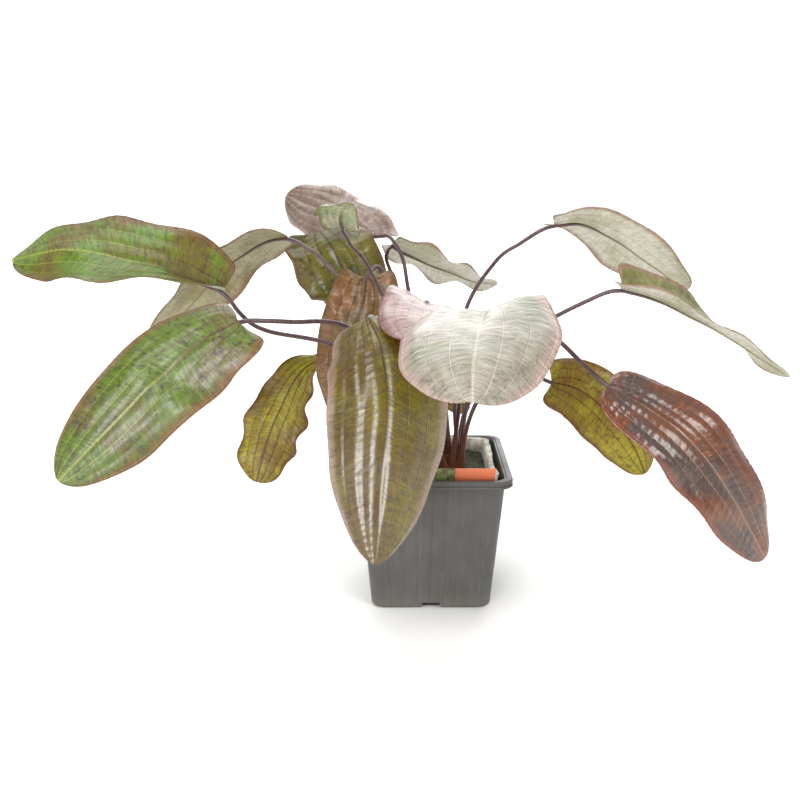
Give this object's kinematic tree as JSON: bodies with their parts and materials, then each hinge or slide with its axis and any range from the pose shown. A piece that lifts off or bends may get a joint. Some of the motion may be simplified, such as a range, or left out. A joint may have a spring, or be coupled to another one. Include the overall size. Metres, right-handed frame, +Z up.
{
  "type": "potted broad-leaf sword plant",
  "caption": "Long-stalked, parallel-veined sword plant in a square grey nursery pot with a mineral wool liner and a plain label card.",
  "frame": {"origin": "middle of the pot's flat underside", "axes": "+Z up out of the pot, +X towards the plant's right with its front, the side with the label card, facing -Y"},
  "size_m": [0.4103, 0.3092, 0.2365],
  "materials": {
    "pot": "satin",
    "mineral_wool": "matte",
    "root_plug": "matte",
    "label_card": "satin",
    "crown": "satin",
    "stalk": "satin",
    "blade": "gloss"
  },
  "bodies": {
    "root": {"pot": "pot", "wool_liner": "mineral_wool", "root_plug": "root_plug", "label_card": "label_card", "crown": "crown", "stalk_left_high": "stalk", "blade_left_high": "blade", "stalk_left_front": "stalk", "blade_left_front": "blade", "stalk_left_back": "stalk", "blade_left_back": "blade", "stalk_left_low": "stalk", "blade_left_low": "blade", "stalk_front_hanging": "stalk", "blade_front_hanging": "blade", "stalk_young_top": "stalk", "blade_young_top": "blade", "stalk_back_left": "stalk", "blade_back_left": "blade", "stalk_back_centre": "stalk", "blade_back_centre": "blade", "stalk_inner_arched": "stalk", "blade_inner_arched": "blade", "stalk_back_right": "stalk", "blade_back_right": "blade", "stalk_right_high": "stalk", "blade_right_high": "blade", "stalk_right_level": "stalk", "blade_right_level": "blade", "stalk_right_front": "stalk", "blade_right_front": "blade", "stalk_right_low": "stalk", "blade_right_low": "blade", "stalk_front_right": "stalk", "blade_front_right": "blade", "stalk_front_inner": "stalk", "blade_front_inner": "blade", "stalk_young_low": "stalk", "blade_young_low": "blade"}
  },
  "joints": []
}
